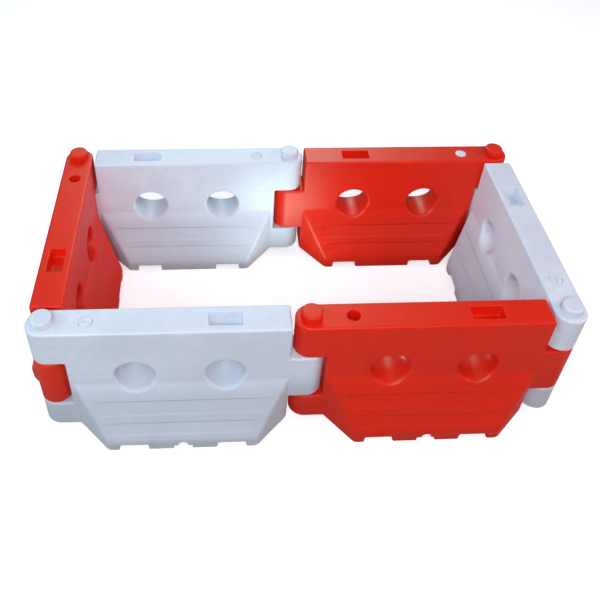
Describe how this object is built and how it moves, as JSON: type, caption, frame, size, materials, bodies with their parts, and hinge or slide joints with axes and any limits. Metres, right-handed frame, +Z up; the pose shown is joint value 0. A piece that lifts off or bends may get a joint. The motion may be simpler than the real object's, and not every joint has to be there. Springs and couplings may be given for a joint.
{
  "type": "water filled barrier loop",
  "caption": "Closed rectangular loop of hollow plastic road barriers linked end to end by fork, tongue and drop-in pin, with sloping skirts, round tunnels, top pockets and forklift slots.",
  "frame": {"origin": "centre of the loop on the ground", "axes": "+Z up, X along the two long sides, front long side at -Y, right short side at +X"},
  "size_m": [3.09, 1.77, 0.845],
  "materials": {
    "white_polyethylene": "natural white moulded polyethylene with a fine orange-peel skin",
    "red_polyethylene": "orange-red moulded polyethylene with a fine orange-peel skin",
    "seal_rubber": "black elastomer",
    "plug_blue": "injection moulded blue plastic"
  },
  "bodies": {
    "barrier_front_left": {"shell_front_left": "white_polyethylene"},
    "link_pin_front_left": {"pin_front_left": "white_polyethylene"},
    "fill_bung_front_left": {"bung_front_left": "white_polyethylene", "bung_seal_front_left": "seal_rubber"},
    "drain_front_left": {"drain_plug_front_left": "plug_blue", "drain_washer_front_left": "seal_rubber"},
    "barrier_front_right": {"shell_front_right": "red_polyethylene"},
    "link_pin_front_right": {"pin_front_right": "red_polyethylene"},
    "drain_front_right": {"drain_plug_front_right": "plug_blue", "drain_washer_front_right": "seal_rubber"},
    "barrier_right_side": {"shell_right_side": "white_polyethylene"},
    "link_pin_right_side": {"pin_right_side": "white_polyethylene"},
    "fill_bung_right_side": {"bung_right_side": "white_polyethylene", "bung_seal_right_side": "seal_rubber"},
    "drain_right_side": {"drain_plug_right_side": "plug_blue", "drain_washer_right_side": "seal_rubber"},
    "barrier_back_right": {"shell_back_right": "red_polyethylene"},
    "link_pin_back_right": {"pin_back_right": "red_polyethylene"},
    "fill_bung_back_right": {"bung_back_right": "white_polyethylene", "bung_seal_back_right": "seal_rubber"},
    "drain_back_right": {"drain_plug_back_right": "plug_blue", "drain_washer_back_right": "seal_rubber"},
    "barrier_back_left": {"shell_back_left": "white_polyethylene"},
    "link_pin_back_left": {"pin_back_left": "white_polyethylene"},
    "fill_bung_back_left": {"bung_back_left": "white_polyethylene", "bung_seal_back_left": "seal_rubber"},
    "drain_back_left": {"drain_plug_back_left": "plug_blue", "drain_washer_back_left": "seal_rubber"},
    "barrier_left_side": {"shell_left_side": "red_polyethylene"},
    "link_pin_left_side": {"pin_left_side": "red_polyethylene"},
    "drain_left_side": {"drain_plug_left_side": "plug_blue", "drain_washer_left_side": "seal_rubber"}
  },
  "joints": [
    {"name": "fold_front_middle", "type": "hinge", "parent": "barrier_front_left", "child": "barrier_front_right", "pos_m": [0, -0.66, 0], "axis": [0, 0, 1], "range_deg": [0, 90]},
    {"name": "fold_front_right_corner", "type": "hinge", "parent": "barrier_front_right", "child": "barrier_right_side", "pos_m": [1.32, -0.66, 0], "axis": [0, 0, 1], "range_deg": [-45, 0]},
    {"name": "fold_front_left_corner", "type": "hinge", "parent": "barrier_front_left", "child": "barrier_left_side", "pos_m": [-1.32, -0.66, 0], "axis": [0, 0, 1], "range_deg": [0, 45]},
    {"name": "fold_back_left_corner", "type": "hinge", "parent": "barrier_left_side", "child": "barrier_back_left", "pos_m": [-1.32, 0.66, 0], "axis": [0, 0, 1], "range_deg": [0, 45]},
    {"name": "fold_back_middle", "type": "hinge", "parent": "barrier_back_left", "child": "barrier_back_right", "pos_m": [0, 0.66, 0], "axis": [0, 0, 1], "range_deg": [-90, 0]},
    {"name": "pull_link_pin_front_left", "type": "slide", "parent": "barrier_front_left", "child": "link_pin_front_left", "axis": [0, 0, 1], "range_m": [0, 0.72]},
    {"name": "lift_fill_bung_front_left", "type": "slide", "parent": "barrier_front_left", "child": "fill_bung_front_left", "axis": [0, 0, 1], "range_m": [0, 0.08]},
    {"name": "pull_drain_plug_front_left", "type": "slide", "parent": "barrier_front_left", "child": "drain_front_left", "axis": [0, -1, 0], "range_m": [0, 0.12]},
    {"name": "pull_link_pin_front_right", "type": "slide", "parent": "barrier_front_right", "child": "link_pin_front_right", "axis": [0, 0, 1], "range_m": [0, 0.72]},
    {"name": "pull_drain_plug_front_right", "type": "slide", "parent": "barrier_front_right", "child": "drain_front_right", "axis": [0, -1, 0], "range_m": [0, 0.12]},
    {"name": "pull_link_pin_right_side", "type": "slide", "parent": "barrier_right_side", "child": "link_pin_right_side", "axis": [0, 0, 1], "range_m": [0, 0.72]},
    {"name": "lift_fill_bung_right_side", "type": "slide", "parent": "barrier_right_side", "child": "fill_bung_right_side", "axis": [0, 0, 1], "range_m": [0, 0.08]},
    {"name": "pull_drain_plug_right_side", "type": "slide", "parent": "barrier_right_side", "child": "drain_right_side", "axis": [1, 0, 0], "range_m": [0, 0.12]},
    {"name": "pull_link_pin_back_right", "type": "slide", "parent": "barrier_back_right", "child": "link_pin_back_right", "axis": [0, 0, 1], "range_m": [0, 0.72]},
    {"name": "lift_fill_bung_back_right", "type": "slide", "parent": "barrier_back_right", "child": "fill_bung_back_right", "axis": [0, 0, 1], "range_m": [0, 0.08]},
    {"name": "pull_drain_plug_back_right", "type": "slide", "parent": "barrier_back_right", "child": "drain_back_right", "axis": [0, 1, 0], "range_m": [0, 0.12]},
    {"name": "pull_link_pin_back_left", "type": "slide", "parent": "barrier_back_left", "child": "link_pin_back_left", "axis": [0, 0, 1], "range_m": [0, 0.72]},
    {"name": "lift_fill_bung_back_left", "type": "slide", "parent": "barrier_back_left", "child": "fill_bung_back_left", "axis": [0, 0, 1], "range_m": [0, 0.08]},
    {"name": "pull_drain_plug_back_left", "type": "slide", "parent": "barrier_back_left", "child": "drain_back_left", "axis": [0, 1, 0], "range_m": [0, 0.12]},
    {"name": "pull_link_pin_left_side", "type": "slide", "parent": "barrier_left_side", "child": "link_pin_left_side", "axis": [0, 0, 1], "range_m": [0, 0.72]},
    {"name": "pull_drain_plug_left_side", "type": "slide", "parent": "barrier_left_side", "child": "drain_left_side", "axis": [-1, 0, 0], "range_m": [0, 0.12]}
  ],
  "couplings": [
    {"joint": "fold_front_right_corner", "follows": "fold_front_middle", "ratio": -0.5},
    {"joint": "fold_front_left_corner", "follows": "fold_front_middle", "ratio": 0.5},
    {"joint": "fold_back_left_corner", "follows": "fold_front_middle", "ratio": 0.5},
    {"joint": "fold_back_middle", "follows": "fold_front_middle", "ratio": -1}
  ]
}
